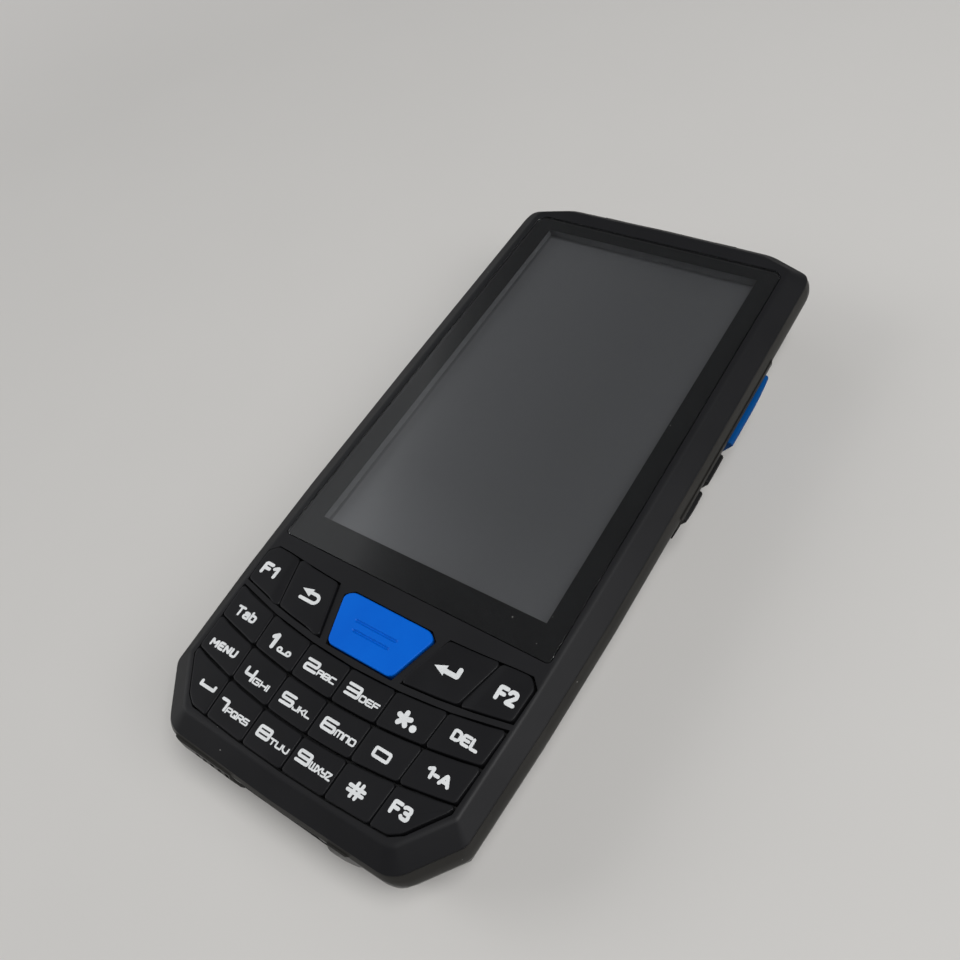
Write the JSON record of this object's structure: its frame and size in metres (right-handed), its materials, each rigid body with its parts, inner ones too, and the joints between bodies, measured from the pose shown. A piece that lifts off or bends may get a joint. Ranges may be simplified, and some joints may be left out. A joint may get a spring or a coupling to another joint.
{
  "type": "handheld barcode terminal",
  "caption": "Handheld data terminal with a touch screen above a numeric keypad, a scan engine in its top end, side scan triggers and a flap over the charging port.",
  "frame": {"origin": "middle of the terminal's footprint, on the surface that its back rests on", "axes": "+X to the right of the screen, +Y towards the top end with the scan window, +Z out of the screen"},
  "size_m": [0.0814, 0.1656, 0.0232],
  "materials": {
    "cover_black": "satin",
    "shell_grey": "fine matt texture",
    "key_black": "satin",
    "key_blue": "satin",
    "trigger_blue": "satin",
    "button_black": "satin",
    "cover_glass": "polished",
    "lens_glass": "polished",
    "scan_plastic": "polished",
    "black_rubber": "matt",
    "black_tape": "matt",
    "bright_steel": "satin",
    "magnesium": "cast",
    "brass": "satin",
    "panel_glass": "satin",
    "tray_white": "matt",
    "circuit_board": "satin",
    "flex_circuit": "satin",
    "module_black": "matt",
    "battery_sleeve": "matt"
  },
  "bodies": {
    "case": {"front_cover": "cover_black", "rear_shell": "shell_grey", "case_seal": "black_rubber", "case_screws": "bright_steel", "screw_inserts": "brass", "battery_cover": "shell_grey", "battery_seal": "black_rubber", "cover_screws": "bright_steel", "cover_glass": "cover_glass", "glass_tape": "black_tape", "display_gasket": "black_rubber", "lcd_panel": "panel_glass", "backlight_tray": "tray_white", "chassis": "magnesium", "display_ribbon": "flex_circuit", "keypad_mat": "black_rubber", "keypad_board": "circuit_board", "main_board": "circuit_board", "shield_can": "bright_steel", "usb_socket": "bright_steel", "speaker": "module_black", "vibration_motor": "bright_steel", "scan_engine": "module_black", "scan_bracket": "bright_steel", "scan_window": "scan_plastic", "camera_module": "module_black", "camera_window": "lens_glass", "battery_pack": "battery_sleeve", "battery_contacts": "brass", "side_switches": "flex_circuit", "antenna_flex": "flex_circuit"},
    "flap": {"port_flap": "black_rubber"},
    "right_trigger": {"trigger_right": "trigger_blue"},
    "left_trigger": {"trigger_left": "trigger_blue"},
    "upper_button": {"volume_up": "button_black"},
    "lower_button": {"volume_down": "button_black"},
    "left_button": {"power_button": "button_black"},
    "keycap_f1": {"key_f1": "key_black"},
    "keycap_back": {"key_back": "key_black"},
    "keycap_scan": {"key_scan": "key_blue"},
    "keycap_enter": {"key_enter": "key_black"},
    "keycap_f2": {"key_f2": "key_black"},
    "keycap_tab": {"key_tab": "key_black"},
    "keycap_1": {"key_1": "key_black"},
    "keycap_2": {"key_2": "key_black"},
    "keycap_3": {"key_3": "key_black"},
    "keycap_star": {"key_star": "key_black"},
    "keycap_del": {"key_del": "key_black"},
    "keycap_menu": {"key_menu": "key_black"},
    "keycap_4": {"key_4": "key_black"},
    "keycap_5": {"key_5": "key_black"},
    "keycap_6": {"key_6": "key_black"},
    "keycap_0": {"key_0": "key_black"},
    "keycap_shift": {"key_shift": "key_black"},
    "keycap_space": {"key_space": "key_black"},
    "keycap_7": {"key_7": "key_black"},
    "keycap_8": {"key_8": "key_black"},
    "keycap_9": {"key_9": "key_black"},
    "keycap_hash": {"key_hash": "key_black"},
    "keycap_f3": {"key_f3": "key_black"}
  },
  "joints": [
    {"name": "port_flap_hinge", "type": "hinge", "parent": "case", "child": "flap", "pos_m": [0.0013, -0.08165, 0.0097], "axis": [1, 0, 0], "range_deg": [0, 100]},
    {"name": "right_trigger_press", "type": "slide", "parent": "case", "child": "right_trigger", "axis": [-1, 0, 0], "range_m": [0, 0.0006], "stiffness_N_per_m": 3000},
    {"name": "left_trigger_press", "type": "slide", "parent": "case", "child": "left_trigger", "axis": [1, 0, 0], "range_m": [0, 0.0006], "stiffness_N_per_m": 3000},
    {"name": "upper_button_press", "type": "slide", "parent": "case", "child": "upper_button", "axis": [-1, 0, 0], "range_m": [0, 0.0005], "stiffness_N_per_m": 3000},
    {"name": "lower_button_press", "type": "slide", "parent": "case", "child": "lower_button", "axis": [-1, 0, 0], "range_m": [0, 0.0005], "stiffness_N_per_m": 3000},
    {"name": "left_button_press", "type": "slide", "parent": "case", "child": "left_button", "axis": [1, 0, 0], "range_m": [0, 0.0005], "stiffness_N_per_m": 3000},
    {"name": "key_f1_press", "type": "slide", "parent": "case", "child": "keycap_f1", "axis": [0, 0, -1], "range_m": [0, 0.0005], "stiffness_N_per_m": 2400, "deforming": ["keypad_mat"]},
    {"name": "key_back_press", "type": "slide", "parent": "case", "child": "keycap_back", "axis": [0, 0, -1], "range_m": [0, 0.0005], "stiffness_N_per_m": 2400, "deforming": ["keypad_mat"]},
    {"name": "key_scan_press", "type": "slide", "parent": "case", "child": "keycap_scan", "axis": [0, 0, -1], "range_m": [0, 0.0005], "stiffness_N_per_m": 2400, "deforming": ["keypad_mat"]},
    {"name": "key_enter_press", "type": "slide", "parent": "case", "child": "keycap_enter", "axis": [0, 0, -1], "range_m": [0, 0.0005], "stiffness_N_per_m": 2400, "deforming": ["keypad_mat"]},
    {"name": "key_f2_press", "type": "slide", "parent": "case", "child": "keycap_f2", "axis": [0, 0, -1], "range_m": [0, 0.0005], "stiffness_N_per_m": 2400, "deforming": ["keypad_mat"]},
    {"name": "key_tab_press", "type": "slide", "parent": "case", "child": "keycap_tab", "axis": [0, 0, -1], "range_m": [0, 0.0005], "stiffness_N_per_m": 2400, "deforming": ["keypad_mat"]},
    {"name": "key_1_press", "type": "slide", "parent": "case", "child": "keycap_1", "axis": [0, 0, -1], "range_m": [0, 0.0005], "stiffness_N_per_m": 2400, "deforming": ["keypad_mat"]},
    {"name": "key_2_press", "type": "slide", "parent": "case", "child": "keycap_2", "axis": [0, 0, -1], "range_m": [0, 0.0005], "stiffness_N_per_m": 2400, "deforming": ["keypad_mat"]},
    {"name": "key_3_press", "type": "slide", "parent": "case", "child": "keycap_3", "axis": [0, 0, -1], "range_m": [0, 0.0005], "stiffness_N_per_m": 2400, "deforming": ["keypad_mat"]},
    {"name": "key_star_press", "type": "slide", "parent": "case", "child": "keycap_star", "axis": [0, 0, -1], "range_m": [0, 0.0005], "stiffness_N_per_m": 2400, "deforming": ["keypad_mat"]},
    {"name": "key_del_press", "type": "slide", "parent": "case", "child": "keycap_del", "axis": [0, 0, -1], "range_m": [0, 0.0005], "stiffness_N_per_m": 2400, "deforming": ["keypad_mat"]},
    {"name": "key_menu_press", "type": "slide", "parent": "case", "child": "keycap_menu", "axis": [0, 0, -1], "range_m": [0, 0.0005], "stiffness_N_per_m": 2400, "deforming": ["keypad_mat"]},
    {"name": "key_4_press", "type": "slide", "parent": "case", "child": "keycap_4", "axis": [0, 0, -1], "range_m": [0, 0.0005], "stiffness_N_per_m": 2400, "deforming": ["keypad_mat"]},
    {"name": "key_5_press", "type": "slide", "parent": "case", "child": "keycap_5", "axis": [0, 0, -1], "range_m": [0, 0.0005], "stiffness_N_per_m": 2400, "deforming": ["keypad_mat"]},
    {"name": "key_6_press", "type": "slide", "parent": "case", "child": "keycap_6", "axis": [0, 0, -1], "range_m": [0, 0.0005], "stiffness_N_per_m": 2400, "deforming": ["keypad_mat"]},
    {"name": "key_0_press", "type": "slide", "parent": "case", "child": "keycap_0", "axis": [0, 0, -1], "range_m": [0, 0.0005], "stiffness_N_per_m": 2400, "deforming": ["keypad_mat"]},
    {"name": "key_shift_press", "type": "slide", "parent": "case", "child": "keycap_shift", "axis": [0, 0, -1], "range_m": [0, 0.0005], "stiffness_N_per_m": 2400, "deforming": ["keypad_mat"]},
    {"name": "key_space_press", "type": "slide", "parent": "case", "child": "keycap_space", "axis": [0, 0, -1], "range_m": [0, 0.0005], "stiffness_N_per_m": 2400, "deforming": ["keypad_mat"]},
    {"name": "key_7_press", "type": "slide", "parent": "case", "child": "keycap_7", "axis": [0, 0, -1], "range_m": [0, 0.0005], "stiffness_N_per_m": 2400, "deforming": ["keypad_mat"]},
    {"name": "key_8_press", "type": "slide", "parent": "case", "child": "keycap_8", "axis": [0, 0, -1], "range_m": [0, 0.0005], "stiffness_N_per_m": 2400, "deforming": ["keypad_mat"]},
    {"name": "key_9_press", "type": "slide", "parent": "case", "child": "keycap_9", "axis": [0, 0, -1], "range_m": [0, 0.0005], "stiffness_N_per_m": 2400, "deforming": ["keypad_mat"]},
    {"name": "key_hash_press", "type": "slide", "parent": "case", "child": "keycap_hash", "axis": [0, 0, -1], "range_m": [0, 0.0005], "stiffness_N_per_m": 2400, "deforming": ["keypad_mat"]},
    {"name": "key_f3_press", "type": "slide", "parent": "case", "child": "keycap_f3", "axis": [0, 0, -1], "range_m": [0, 0.0005], "stiffness_N_per_m": 2400, "deforming": ["keypad_mat"]}
  ]
}
